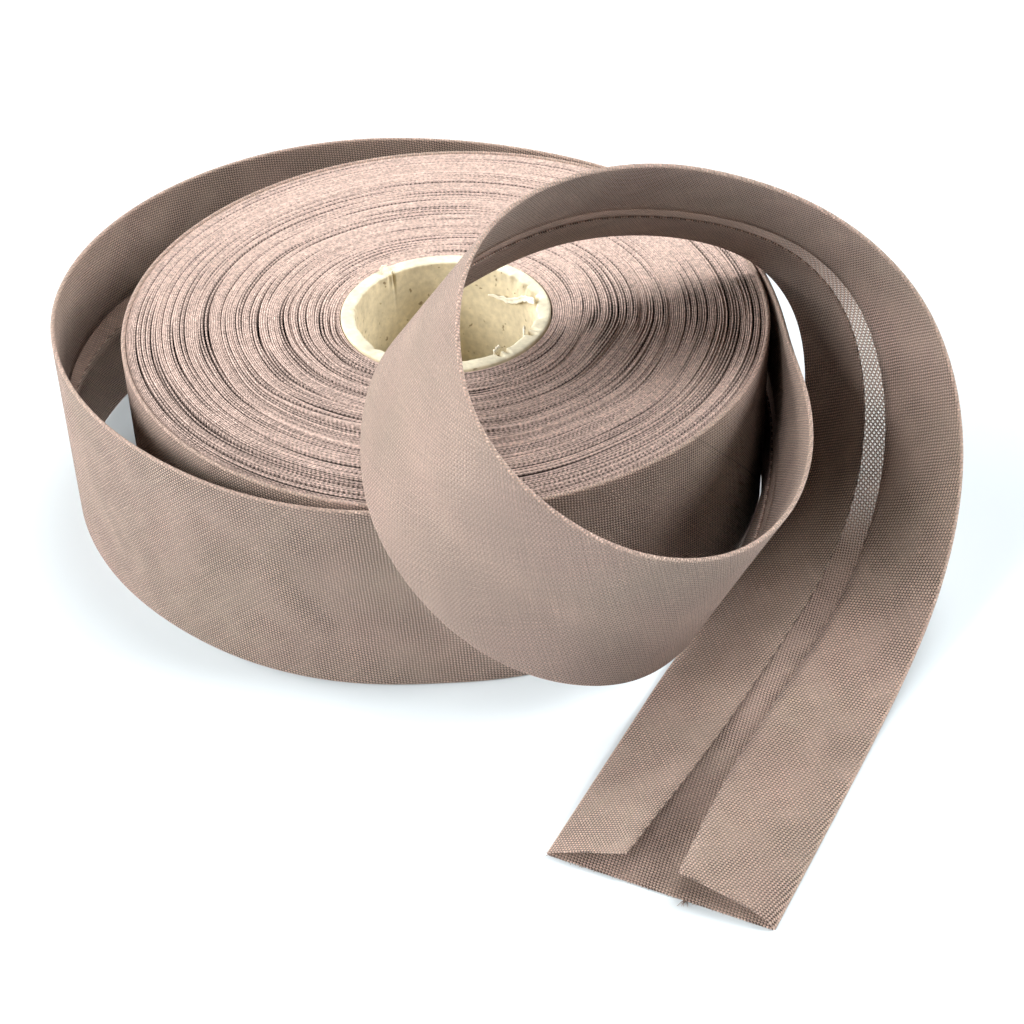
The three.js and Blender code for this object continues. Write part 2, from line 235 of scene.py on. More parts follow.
@dataclass
class Workshop:
    """Puts shapes into the model's frame.

    The roll's axis stands in the middle of the core, as packed.
    """

    axis: Vector = field(default_factory=lambda: Vector((0, 0, 0)))

    @classmethod
    def from_core(cls) -> "Workshop":
        """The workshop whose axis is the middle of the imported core."""
        low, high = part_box("cardboard_core")
        return cls(Vector(((low[0] + high[0]) / 2, (low[1] + high[1]) / 2, 0)))

    def piece(
        self,
        name: str,
        points: Array,
        faces: Array,
        uv: Array | None,
        material: Material,
        marks: dict[str, Array] | None = None,
    ) -> Object:
        """Makes a smooth-shaded object from points and faces.

        Args:
            name: the piece's name.
            points: one row of x, y, z for each vertex, in millimetres from the axis.
            faces: one row of four vertex numbers for each face.
            uv: one row of U, V for each vertex, or for each corner of each face, or None.
            material: its finish.
            marks: a value for each vertex, under each name that the finish reads.

        Returns:
            The object, at the origin.
        """
        places = points * MM + np.array(self.axis)
        mesh = bpy.data.meshes.new(name)
        mesh.from_pydata(places.tolist(), [], faces.tolist())
        mesh.polygons.foreach_set("use_smooth", np.ones(len(faces), bool))
        if uv is not None:
            layer = mesh.uv_layers.new(name="cloth")
            corners = uv[faces.reshape(-1)] if len(uv) == len(points) else uv
            layer.data.foreach_set("uv", corners.astype(np.float32).reshape(-1))
        for mark, values in (marks or {}).items():
            layer = mesh.attributes.new(mark, "FLOAT", "POINT")
            layer.data.foreach_set("value", values.astype(np.float32).reshape(-1))
        mesh.materials.append(material)
        mesh.update()
        thing = bpy.data.objects.new(name, mesh)
        bpy.context.scene.collection.objects.link(thing)
        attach(thing, "root")
        return thing


@dataclass(frozen=True)
class BiasCotton:
    """Plain-woven dyed cotton, cut on the bias, so its threads run at 45 degrees.

    The warp is a little closer set than the weft, and the cut is a few degrees off the
    true bias. It gives the eye a matt taupe with a fine diagonal lattice. The threads on
    top in one direction are painted paler than those in the other, as painted light and
    shade for how the light falls across the raised threads, which shows as rows of dots
    along the tape. The gaps between the threads carry painted shade. Where the cloth is
    single, light shines through it and through the pinholes between its threads.
    """

    name: str = "dyed cotton, plain woven, cut on the bias"
    warp_pitch: float = 0.35 * MM
    weft_pitch: float = 0.45 * MM
    skew: float = -41.4
    # The paler warp and darker weft are painted light and shade: both yarns are dyed alike, and
    # the difference stands for how the light falls across the raised threads
    warp: str = "#e4cabc"
    weft: str = "#564339"
    # Painted shade in the gaps between the threads
    gap_shade: str = "#221713"
    slub: str = "#e2cbbd"
    pinhole_glow: str = "#fffdfa"
    pinker: str = "#fffaf8"
    greener: str = "#f9faf5"
    roughness: float = 0.92
    sheen: float = 0.15
    ribs: float = 1.1
    seam: float = 329.4 * MM
    seam_width: float = 0.16 * MM
    fold_line: float = 20.0 * MM
    fold_rub: float = 0.4 * MM
    shine_through: float = 0.28
    relief: float = 0.22 * MM

    def make(self) -> Material:
        """The woven material, read from the piece's own UV map in metres."""
        material, add = blank_material(self.name)
        place = add("UVMap", uv_map="cloth")
        turn = add(
            "Mapping",
            {
                "Vector": place, "Rotation": (0, 0, math.radians(self.skew)),
                "Scale": (self.warp_pitch, self.weft_pitch, 1.0),
            },
            vector_type="TEXTURE",
        )
        # The threads wander a little, by a share of their pitch
        wander = add("TexNoise", {"Vector": turn, "Scale": 0.11, "Detail": 2.0})
        shift = add("VectorMath SUBTRACT", (wander.outputs["Color"], (0.5, 0.5, 0.5)))
        bend = add("VectorMath MULTIPLY", (shift, (0.8, 0.8, 0)))
        threads = add("VectorMath ADD", (turn, bend))
        axes = add("SeparateXYZ", (threads,))
        # sin(pi x) is 0 between threads and swings up and down on every second one
        swings = []
        for along in (axes.outputs[0], axes.outputs[1]):
            angle = add("Math MULTIPLY", (along, math.pi))
            swings.append(add("Math SINE", (angle,)))
        over = add("Math MULTIPLY", swings)
        widths = [add("Math ABSOLUTE", (swing,)) for swing in swings]
        lifted = add("Math MULTIPLY_ADD", (over, 0.35, 0.65))
        sunk = add("Math MULTIPLY_ADD", (over, -0.35, 0.65))
        warp_height = add("Math MULTIPLY", (widths[1], lifted))
        weft_height = add("Math MULTIPLY", (widths[0], sunk))
        height = add("Math MAXIMUM", (warp_height, weft_height))
        # Each thread has its own thickness, which shows as a streak along it
        streaks = []
        for scale in ((0.03, 0.9, 1), (0.9, 0.03, 1)):
            stretch = add("VectorMath MULTIPLY", (turn, scale))
            streaks.append(add("TexNoise", {"Vector": stretch, "Scale": 1.0, "Detail": 1.0}))
        streak = add("Math ADD", streaks)
        thickness = add("MapRange", (streak, 0.6, 1.4, 0.84, 1.16))
        # The warp is drawn in pairs through the reed, so every second thread is paler
        uneven = add("Math MULTIPLY_ADD", (swings[0], 0.1, thickness))
        slub = add("MapRange", (streak, 1.24, 1.46, 0.0, 0.5))
        # Clouds in the dye, about 18 mm across. Scales on place are per metre
        clouds = add("TexNoise", {"Vector": place, "Scale": 55.0, "Detail": 3.0})
        cloud = add("MapRange", (clouds, 0.3, 0.7, 0.93, 1.07))
        # Spun yarn is uneven from one crossing to the next
        crossings = add("TexNoise", {"Vector": turn, "Scale": 0.8, "Detail": 1.0})
        lumpy = add("MapRange", (crossings, 0.3, 0.7, 0.8, 1.2))
        # Along a fold the fibres stand up, which hides the weave, and the fold is painted paler as
        # a painted highlight, where it catches the light
        length, across = add("SeparateXYZ", (place,)).outputs[:2]
        from_middle = add("Math ABSOLUTE", (across,))
        on_fold = add("Math COMPARE", (from_middle, self.fold_line, self.fold_rub))
        # How much the painted light and shade of the two directions differ comes and goes
        # over about 8 mm, and a raised nap hides it
        patches = add("TexNoise", {"Vector": place, "Scale": 130.0, "Detail": 1.0})
        clear = add("MapRange", (patches, 0.35, 0.65, 0.5, 1.05))
        brushed = add("Attribute", attribute_name="brushed").outputs["Fac"]
        nap = add("Math MAXIMUM", (brushed, on_fold))
        shows = add("MapRange", (nap, 0, 1, 1.0, 0.24))
        contrast = add("Math MULTIPLY", (clear, shows))
        # A thread's width is 0.64 on average, the mean of a sine's half wave
        ribbed = add("Math SUBTRACT", (widths[1], 0.64))
        pattern = add("Math MULTIPLY_ADD", (ribbed, self.ribs, over))
        on_top = add("Math MULTIPLY_ADD", (pattern, contrast, 0.62), use_clamp=True)
        # Painted shade: where the threads are low, between them, the colour is the dark shade of
        # the gaps
        filled = add("MapRange", (height, 0.15, 0.45))
        # Painted light and shade: the thread on top in one direction is painted pale, and the one
        # in the other direction dark
        crossed = add("Mix RGBA", {0: on_top, 6: self.weft, 7: self.warp})
        woven = add("Mix RGBA", {0: filled, 6: self.gap_shade, 7: crossed})
        streaked = add("Mix RGBA", {0: slub, 6: woven, 7: self.slub})
        # Handling has left the dye pinker here and greener there, about 26 mm apart
        stains = add("TexNoise", {"Vector": place, "Scale": 38.0, "Detail": 2.0})
        stained = add("MapRange", (stains, 0.35, 0.65))
        tint = add("Mix RGBA", {0: stained, 6: self.greener, 7: self.pinker})
        dyed = add("VectorMath MULTIPLY", (streaked, tint))
        # Painted highlight: 30 percent paler along the fold, on top of the dye's clouds
        fold_highlight_and_clouds = add("Math MULTIPLY_ADD", (on_fold, 0.3, cloud))
        even = add("Math MULTIPLY", (uneven, fold_highlight_and_clouds))
        # Where two lengths of strip are pieced, the seam runs across at 45 degrees
        slant = add("Math SUBTRACT", (length, across))
        pieced = add("Math COMPARE", (slant, self.seam, self.seam_width))
        seamed = add("Math MULTIPLY_ADD", (pieced, -0.5, lumpy))
        tone = add("Math MULTIPLY", (even, seamed))
        colour = add("VectorMath SCALE", {0: dyed, "Scale": tone})
        relief = add("Bump", {"Height": height, "Strength": 1.0, "Distance": self.relief})
        face = add(
            "BsdfPrincipled",
            {
                "Base Color": colour, "Roughness": self.roughness, "Sheen Weight": self.sheen,
                "Sheen Roughness": 0.6, "Specular IOR Level": 0.2, "Normal": relief,
            },
        )
        # On the outside of the bend the single cloth is pulled open, and its threads lie in
        # pairs with gaps between them
        opened = add("Attribute", attribute_name="opened").outputs["Fac"]
        shut = add("MapRange", (height, 0.1, 0.42))
        pairs = add("Math MAXIMUM", swings)
        slack = add("MapRange", (pairs, 0.15, 0.6))
        cover = add("Mix FLOAT", {0: opened, 2: shut, 3: slack})
        glow = add("Mix RGBA", {0: cover, 6: self.pinhole_glow, 7: crossed})
        through = add("BsdfTranslucent", {"Color": glow})
        open_weave = add("MapRange", (cover, 0, 1, 0.98, self.shine_through))
        mixed = add("MixShader", (open_weave, face, through))
        add("OutputMaterial", {"Surface": mixed})
        return material


@dataclass(frozen=True)
class CottonYarn:
    """Loose yarn of the same cotton, fluffy and a little paler than the cloth."""

    name: str = "loose cotton yarn"
    fluff: str = "#b39a8d"
    shade: str = "#7d685d"
    roughness: float = 0.95

    def make(self) -> Material:
        """The yarn, read from Object coordinates."""
        material, add = blank_material(self.name)
        place = add("TexCoord").outputs["Object"]
        # Fluff as thick as the yarn, 0.4 mm
        fluff = add("TexNoise", {"Vector": place, "Scale": 2500.0, "Detail": 2.0})
        colour = add("Mix RGBA", {0: fluff, 6: self.shade, 7: self.fluff})
        relief = add("Bump", {"Height": fluff, "Strength": 0.5, "Distance": 0.05 * MM})
        face = add(
            "BsdfPrincipled",
            {
                "Base Color": colour, "Roughness": self.roughness,
                "Specular IOR Level": 0.15, "Normal": relief,
            },
        )
        add("OutputMaterial", {"Surface": face})
        return material


@dataclass(frozen=True)
class WoundEdges:
    """The folded edges of the same cotton, pressed side by side on the roll's end.

    They give the eye fine matt lines, each a little paler or darker than the next.
    Between them runs a dark line of painted shade, for the shade in the groove between
    turns. The thread ends notch it, so that it looks dotted.
    """

    name: str = "folded cotton edges, wound tight"
    thread_repeat: float = 0.9 * MM
    edge: str = "#ddc2b5"
    # The colour of the painted shade in the grooves between turns
    deep: str = "#241814"
    roughness: float = 0.95

    def make(self) -> Material:
        """The material, read from a UV map of metres along the turn and turns outwards."""
        material, add = blank_material(self.name)
        place = add("UVMap", uv_map="cloth")
        parts = add("SeparateXYZ", (place,))
        along, turns = parts.outputs[0], parts.outputs[1]
        whole = add("Math FLOOR", (turns,))
        own = add("TexWhiteNoise", {"W": whole}, noise_dimensions="1D")
        tone = add("MapRange", (own, 0, 1, 0.93, 1.05))
        across = add("Math SUBTRACT", (turns, whole))
        swing = add("Math MULTIPLY", (across, math.pi))
        crest = add("Math SINE", (swing,))
        # One bead for each thread that turns over the fold, out of step from turn to turn
        drift = add("TexNoise", {"Vector": place, "Scale": 400.0, "Detail": 1.0})
        start = add("Math MULTIPLY_ADD", (drift, 14.0, own))
        steps = add("Math MULTIPLY_ADD", (along, 2 * math.pi / self.thread_repeat, start))
        beads = add("Math SINE", (steps,))
        notched = add("Math MULTIPLY_ADD", (beads, 0.3, crest))
        # Painted shade in the grooves between turns: the deep colour fills the line between them,
        # wider and darker where the parted mark is high
        parted = add("Attribute", attribute_name="parted").outputs["Fac"]
        floor = add("Math MULTIPLY_ADD", (parted, 0.5, 0.1))
        top = add("Math MULTIPLY_ADD", (parted, 0.4, 0.55))
        filled = add("MapRange", (notched, floor, top))
        base = add("Mix RGBA", {0: filled, 6: self.deep, 7: self.edge})
        # The folded yarns give a sandy speckle, a yarn or 0.6 mm across
        grain = add("TexCoord").outputs["Object"]
        dots = add("TexNoise", {"Vector": grain, "Scale": 1700.0, "Detail": 2.0})
        dotted = add("MapRange", (dots, 0.32, 0.68, 0.68, 1.26))
        both = add("Math MULTIPLY", (tone, dotted))
        colour = add("VectorMath SCALE", {0: base, "Scale": both})
        relief = add("Bump", {"Height": notched, "Strength": 0.7, "Distance": 0.1 * MM})
        face = add(
            "BsdfPrincipled",
            {
                "Base Color": colour, "Roughness": self.roughness, "Specular IOR Level": 0.15,
                "Sheen Weight": 0.1, "Normal": relief,
            },
        )
        add("OutputMaterial", {"Surface": face})
        return material


@dataclass(frozen=True)
class PressedCardboard:
    """Thick grey-brown paper board, wound in plies, with a cut cream rim.

    It gives the eye a fibrous kraft wall with dark specks, and a pale, soft,
    slightly torn rim.
    """

    name: str = "wound kraft paper board"
    kraft: str = "#d9cbab"
    speck: str = "#857253"
    rim: str = "#e1d8bd"
    roughness: float = 0.88

    def make(self) -> Material:
        """The board, read from Object coordinates, paler where it faces upwards."""
        material, add = blank_material(self.name)
        place = add("TexCoord").outputs["Object"]
        # Pulp fibres a little over 1 mm long, clouds of 6 mm and specks of husk of 1.3 mm
        fibre_place = add("Mapping", {"Vector": place, "Scale": (800.0, 800.0, 700.0)})
        fibres = add("TexNoise", {"Vector": fibre_place, "Scale": 1.0, "Detail": 4.0})
        clouds = add("TexNoise", {"Vector": place, "Scale": 160.0, "Detail": 4.0})
        specks = add("TexNoise", {"Vector": place, "Scale": 760.0, "Detail": 1.0})
        speckled = add("MapRange", (specks, 0.69, 0.76, 0.0, 0.8))
        wall = add("Mix RGBA", {0: speckled, 6: self.kraft, 7: self.speck})
        # The cut rim faces upwards
        normal = add("NewGeometry").outputs["True Normal"]
        upward = add("SeparateXYZ", (normal,)).outputs[2]
        rim_share = add("MapRange", (upward, 0.25, 0.75))
        board = add("Mix RGBA", {0: rim_share, 6: wall, 7: self.rim})
        cloud = add("MapRange", (clouds, 0.3, 0.7, 0.84, 1.1))
        fibred = add("MapRange", (fibres, 0.3, 0.7, 0.86, 1.1))
        tone = add("Math MULTIPLY", (cloud, fibred))
        colour = add("VectorMath SCALE", {0: board, "Scale": tone})
        relief = add("Bump", {"Height": fibres, "Strength": 0.6, "Distance": 0.12 * MM})
        face = add(
            "BsdfPrincipled",
            {
                "Base Color": colour, "Roughness": self.roughness, "Specular IOR Level": 0.25,
                "Normal": relief,
            },
        )
        add("OutputMaterial", {"Surface": face})
        return material


@dataclass(frozen=True)
class Station:
    """A section of the twisted loop and of the end that lies on the floor.

    x, y and z are the middle of the tape. Its width leans from upright by lean, in
    degrees, and its upper edge leans towards the bearing in towards.
    """

    x: float
    y: float
    z: float
    lean: float
    towards: float


@dataclass(frozen=True)
class FlapEdges:
    """Where the raw edges of the two flaps lie across the tape.

    from_end is the distance back from the cut end. upper and lower are where the raw
    edges would lie if pressed flat, from the tape's middle, and upper_rise and
    lower_rise are how far they stand off the back.
    """

    from_end: float
    upper: float
    lower: float
    upper_rise: float
    lower_rise: float


# The lifted turn, standing round the roll: bearings in degrees from +X, and the radius
# to the middle of the tape
LIFTED_TURN = (
    (-88.4, 61.55), (-98, 62.2), (-108, 63.7), (-124, 65.8), (-141, 68.0), (-157, 71.0),
    (-172, 74.0), (-187, 76.5), (-203, 77.5), (-220, 76.9), (-238, 74.7), (-255, 71.3),
    (-271, 67.2), (-287, 64.3), (-304, 63.0), (-322, 62.9), (-338, 62.9),
)

LOOP = tuple(
    Station(*row)
    for row in (
        (62, 10.5, 20.5, 0, -17), (63, -5, 21, 1.5, -17), (61.5, -20.5, 22, 5.5, -18.5),
        (59, -35, 22.5, 15.5, -14.5), (55, -49, 22, 23, -15), (49, -62, 22, 26.5, -15.5),
        (40.5, -73, 24, 29, -17.5), (30.5, -80.5, 28.5, 32.5, -21.5), (19, -84, 34.5, 35.5, -27),
        (8.5, -83.5, 42, 37.5, -33), (-0.5, -78.5, 50, 38.5, -39.5),
        (-6, -70.5, 57.5, 38.5, -43.5), (-7, -60, 64.5, 38, -46), (-5, -49, 69.5, 37.5, -47.5),
        (1, -38.5, 72.5, 36.5, -48.5), (10, -29, 73, 37.5, -48.5), (20, -21.5, 72.5, 41, -50),
        (31, -15, 70.5, 45.5, -51.5), (42.5, -10.5, 67, 50, -54.5),
        (53.5, -7.5, 62.5, 53.5, -57.5), (63.5, -6, 57, 56.5, -60.5), (72, -6, 50, 58, -62),
        (78, -8.5, 42, 58, -59.5), (81, -14, 32.5, 58.5, -53), (81, -22.5, 22.5, 61, -45),
        (77.5, -33.5, 13.5, 66, -38.5), (71, -45.5, 6.5, 74, -34), (62.5, -58.5, 2.5, 84, -32),
        (54, -72, 0.8, 89.5, -30), (46, -86, 0.6, 90, -29), (38, -100, 0.6, 90, -29),
        (30, -114, 0.6, 90, -28),
    )
)

FLAPS = tuple(
    FlapEdges(*row)
    for row in (
        (0, 2.3, -4.6, 5.6, 6.0), (12, 1.6, -4.9, 4.2, 4.2), (26, 0.9, -4.9, 2.3, 2.1),
        (45, 0.9, -4.3, 0.7, 0.6), (60, 1.5, -4.0, 0.2, 0.2), (130, 1.7, -3.6, 0.0, 0.0),
        (150, 0.8, -4.4, 0.0, 0.0), (168, -0.8, -6.0, 0.0, 0.0), (210, -0.8, -6.0, 0.0, 0.0),
        (250, 1.6, -3.6, 0.0, 0.0), (520, 1.6, -3.6, 0.0, 0.0), (740, 2.4, -2.8, 0.0, 0.0),
        (1200, 2.4, -2.8, 0.0, 0.0),
    )
)

# How far the bend pulls the single cloth open, by the distance back from the cut end
OPENED = ((82, 0.0), (96, 0.8), (110, 1.0), (130, 1.0), (150, 0.45), (175, 0.12), (200, 0.0))

# How far the twist has raised the nap, by the distance back from the cut end
BRUSHED = ((225, 0.0), (250, 1.0), (300, 1.0), (330, 0.6), (360, 0.2), (420, 0.0))


@dataclass
class FoldedTape:
    """The tape's folded section and how it is carried along a course.

    The cut strip is folded lengthwise into a back and two flaps that lie on the
    back's inner face. Lengths are in millimetres. crowding brings the flaps' points
    closer together towards their hinges.
    """

    width: float = 40.0
    cut_width: float = 75.0
    cloth: float = 0.3
    layer_gap: float = 0.52
    across_flap: int = 12
    across_fold: int = 5
    across_back: int = 18
    step: float = 1.5
    upper_bulge: float = 0.55
    lower_bulge: float = 0.9
    crowding: float = 1.3

    def section(
        self, upper: Array, lower: Array, upper_rise: Array, lower_rise: Array
    ) -> tuple[Array, Array, Array]:
        """The middle of the cloth across the folded strip, from raw edge to raw edge.

        A flap lifts off the back by rise * share ** bulge, where share is 0 at its
        hinge and 1 at its raw edge. A fold is a half circle between the layers, and
        the back is a straight line.

        Args:
            upper: where the upper raw edge would lie at each place, pressed flat.
            lower: where the lower raw edge would lie at each place, pressed flat.
            upper_rise: how far the upper raw edge stands up at each place.
            lower_rise: how far the lower raw edge stands up at each place.

        Returns:
            Across, inward and the distance over the cloth from the back's middle.
        """
        fold = self.layer_gap / 2
        hinge = self.width / 2 - fold - self.cloth / 2
        sides = []
        flaps = (
            (hinge - upper, upper_rise, self.upper_bulge),
            (hinge + lower, lower_rise, self.lower_bulge),
        )
        for raw, rise, bulge in flaps:
            share = np.linspace(1, 0, self.across_flap)[None, :] ** self.crowding
            length = raw[:, None]
            lift = np.arcsin(np.clip(rise[:, None] / length, 0, 0.9))
            turn = np.linspace(np.pi / 2, -np.pi / 2, self.across_fold + 1)[None, 1:] + 0 * length
            flap = (
                hinge - length * share * np.cos(lift),
                fold + rise[:, None] * share**bulge,
                hinge + np.pi * fold + length * share,
            )
            bend = (
                hinge + fold * np.cos(turn),
                fold * np.sin(turn),
                hinge + fold * (turn + np.pi / 2),
            )
            sides.append([np.hstack(pair) for pair in zip(flap, bend)])
        back = np.linspace(hinge, -hinge, self.across_back)[None, 1:-1] + 0 * upper[:, None]
        (ua, na, ca), (ub, nb, cb) = sides
        across = np.hstack([ua, back, -ub[:, ::-1]])
        inward = np.hstack([na, back * 0 - fold, nb[:, ::-1]])
        cloth = np.hstack([ca, back, -cb[:, ::-1]])
        return across, inward, cloth

    def carry(self, middle: Array, across: Array, from_end: Array) -> tuple[Array, Array, Array]:
        """The folded strip carried along a course.

        Each section stands square to the course: its inward direction is the course's
        direction crossed with the tape's width.

        Args:
            middle: the middle of the tape at each place.
            across: the unit direction of its width at each place.
            from_end: each place's distance back from the cut end.

        Returns:
            The points, the faces and the UVs in metres over the cloth.
        """
        inward = unit(np.cross(unit(np.gradient(middle, axis=0)), across))
        keys = np.array([row.from_end for row in FLAPS], float)
        names = ("upper", "lower", "upper_rise", "lower_rise")
        upper, lower, *rises = (read_column(FLAPS, keys, name, from_end) for name in names)
        u, n, cloth = self.section(upper, lower, *(np.maximum(rise, 0) for rise in rises))
        points = middle[:, None] + across[:, None] * u[..., None] + inward[:, None] * n[..., None]
        uv = np.stack([walked(middle)[:, None] + 0 * cloth, cloth], -1) * MM
        rows, columns = u.shape
        return points.reshape(-1, 3), grid_faces(rows, columns), uv.reshape(-1, 2)


@dataclass
class CutYarns:
    """The yarn ends that stick out of the tape's cut end. Lengths in millimetres.

    A tuft of longer ones stands out of the back, at the share tuft_place of the rim,
    give or take tuft_spread. bent and tapered are shares of a yarn's length and girth.
    """

    count: int = 100
    tuft: int = 12
    tuft_place: float = 0.455
    shortest: float = 0.25
    longest: float = 0.5
    tuft_length: float = 1.4
    thickness: float = 0.13
    rooted: float = 0.3
    tuft_spread: float = 0.006
    bent: float = 0.25
    tapered: float = 0.6
    steps: int = 6
    seed: int = 3

    def build(self, shop: Workshop, rim: Array, away: Array, yarn: Material) -> Object:
        """Makes the ends: four-sided tapering tubes, each bent as start + d t + b t squared.

        Args:
            shop: puts them into the model's frame.
            rim: the points of the cut end, from raw edge to raw edge.
            away: the unit direction out of the tape.
            yarn: their finish.

        Returns:
            The piece.
        """
        rng = np.random.default_rng(self.seed)
        keys = walked(rim)
        share = rng.random(self.count)
        near = self.tuft_place + rng.uniform(-self.tuft_spread, self.tuft_spread, self.tuft)
        share = np.concatenate([share, near])
        total = self.count + self.tuft
        place = share * keys[-1]
        start, ahead, behind = (read_path(rim, keys, place + side) for side in (0, 0.1, -0.1))
        along = unit(ahead - behind)
        length = rng.uniform(self.shortest, self.longest, total)
        length[self.count :] = self.tuft_length * rng.uniform(0.5, 1, self.tuft)
        slant = np.where(rng.random(total) < 0.5, 45, -45) + rng.uniform(-20, 20, total)
        slant = np.radians(slant)
        slant[self.count :] *= 0.5
        lead = away[None] * np.cos(slant)[:, None] + along * np.sin(slant)[:, None]
        bend = rng.normal(0, self.bent, (total, 3)) * length[:, None]
        t = np.linspace(0, 1, self.steps)[None, :, None]
        reach = (length + self.rooted)[:, None, None]
        spine = start[:, None] - lead[:, None] * self.rooted + lead[:, None] * reach * t
        spine += bend[:, None] * t**2
        spine[..., 2] = np.maximum(spine[..., 2], self.thickness / 2)
        side = unit(np.cross(lead, (0.0, 0.0, 1.0)))
        rise = np.cross(side, lead)
        turn = np.array([0.25, 0.75, 1.25, 1.75])[:, None] * np.pi
        ring = side[:, None] * np.cos(turn) + rise[:, None] * np.sin(turn)
        girth = self.thickness / 2 * (1 - self.tapered * t[..., None])
        points = (spine[:, :, None] + ring[:, None] * girth).reshape(-1, 3)
        first = (np.arange(total) * self.steps * 4)[:, None, None]
        level = (np.arange(self.steps - 1) * 4)[None, :, None]
        corner, after = np.arange(4), (np.arange(4) + 1) % 4
        here, there = first + level + corner, first + level + after
        walls = np.stack([here, there, there + 4, here + 4], -1).reshape(-1, 4)
        root = first[:, 0] + np.array([3, 2, 1, 0])
        tip = first[:, 0] + (self.steps - 1) * 4 + np.arange(4)
        piece = shop.piece("cut_end_yarns", points, np.concatenate([walls, root, tip]), None, yarn)
        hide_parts("loose_end")
        return piece


@dataclass
class LooseEnd:
    """The outermost turn and the rest of the strip, which is lifted off, looped over
    and lies in front. Lengths are in millimetres and angles in degrees.

    The first part is still wound: a circle whose start is tucked under its end by
    tuck, over the first tuck_sweep of it.
    """

    tape: FoldedTape
    standing_height: float = 20.15
    rounding: float = 5.0
    wound_radius: float = 61.55
    leaving: float = -88.4
    wound_sweep: float = 368.0
    tuck: float = 0.9
    tuck_sweep: float = 60.0
    yarns: CutYarns = field(default_factory=CutYarns)

    def wound(self) -> Array:
        """The middle of the part that is still wound, about each millimetre.

        Returns:
            The middles, up to a step before the place where the tape leaves the roll.
        """
        count = int(math.radians(self.wound_sweep) * self.wound_radius)
        turned = np.linspace(0, self.wound_sweep, count, endpoint=False)
        bearing = np.radians(self.leaving + self.wound_sweep - turned)
        early = np.clip(1 - turned / self.tuck_sweep, 0, 1)
        radius = self.wound_radius - self.tuck * early**2 * (3 - 2 * early)
        return round_axis(radius, bearing, self.standing_height)

    def course(self) -> tuple[Array, Array]:
        """The tape's middle and the direction of its width, about each millimetre.

        Returns:
            The middles and the unit directions.
        """
        bearings, radii = np.array(LIFTED_TURN).T
        upright = round_axis(radii, np.radians(bearings), self.standing_height)
        rows = tuple(Station(*point, 0, LOOP[0].towards) for point in upright) + LOOP
        keys = walked(np.array([[row.x, row.y, row.z] for row in rows]))
        places = np.linspace(0, keys[-1], int(keys[-1]) + 1)
        x, y, z, lean, towards = (
            read_column(rows, keys, name, places) for name in ("x", "y", "z", "lean", "towards")
        )
        lean, towards = np.radians(lean), np.radians(towards)
        loose = blur(np.stack([x, y, z], -1), self.rounding)
        across = blur(round_axis(np.sin(lean), towards, np.cos(lean)), self.rounding)
        wound = self.wound()
        middle = blur(np.concatenate([wound, loose]), 1.5)
        across = np.concatenate([np.tile([0.0, 0.0, 1.0], (len(wound), 1)), across])
        return middle, unit(across)

    def build(self, shop: Workshop, cotton: Material, yarn: Material) -> Object:
        """Makes the strip as one folded sheet, and the yarns at its cut end.

        Args:
            shop: puts it into the model's frame.
            cotton: its finish.
            yarn: the finish of its loose yarns.

        Returns:
            The piece.
        """
        middle, across = self.course()
        keys = walked(middle)
        length = keys[-1]
        places = np.linspace(0, length, int(length / self.tape.step) + 1)
        middle, across = read_path(middle, keys, places), read_path(across, keys, places)
        from_end = length - places
        points, faces, uv = self.tape.carry(middle, across, from_end)
        over_cloth = np.abs(uv[:, 1].reshape(len(places), -1)) / MM
        single = np.clip(8 - over_cloth, 0, 1)
        opened = np.interp(from_end, *zip(*OPENED))[:, None] * single
        brushed = np.interp(from_end, *zip(*BRUSHED))[:, None] + 0 * single
        marks = {"opened": opened, "brushed": brushed}
        piece = shop.piece("loose_end_tape", points, faces, uv, cotton, marks)
        thicken(piece, self.tape.cloth)
        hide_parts("loose_end")
        away = middle[-1] - middle[-2]
        rim = points.reshape(len(places), -1, 3)[-1]
        self.yarns.build(shop, rim, away / np.linalg.norm(away), yarn)
        return piece


def thicken(piece: Object, cloth: float) -> None:
    """Gives a sheet the cloth's thickness, evenly to both sides.

    Args:
        piece: the sheet.
        cloth: its thickness in millimetres.
    """
    solid = piece.modifiers.new("cloth thickness", "SOLIDIFY")
    solid.thickness = cloth * MM
    solid.offset = 0
    solid.use_even_offset = False


class Face(Enum):
    """The two ends of the roll."""

    UPPER = "upper"
    LOWER = "lower"


@dataclass(frozen=True)
class Parting:
    """A place where neighbouring turns part, and the line between them gets painted shade.

    radius is in millimetres, bearing and spread are in degrees, and width is how far
    they part, in millimetres.
    """

    radius: float
    bearing: float
    spread: float
    width: float


PARTINGS = tuple(
    Parting(*row)
    for row in (
        (23.6, -50, 40, 0.55), (27.8, -150, 60, 0.35), (32.2, -110, 45, 0.4),
        (36.1, -50, 35, 0.35), (39.6, -50, 35, 0.35), (42.3, -115, 50, 0.5),
        (46.2, -100, 45, 0.35), (49.6, -60, 45, 0.35), (50.2, -125, 40, 0.45),
        (54.0, 170, 40, 0.4), (57.8, -120, 70, 0.55), (58.4, -50, 35, 0.45), (55.6, -45, 30, 0.3),
        (24.5, 165, 40, 0.35), (31.0, 165, 45, 0.3), (38.6, 165, 50, 0.35), (45.7, 165, 50, 0.4),
        (50.3, 165, 50, 0.35), (22.6, -165, 40, 0.4),
    )
)


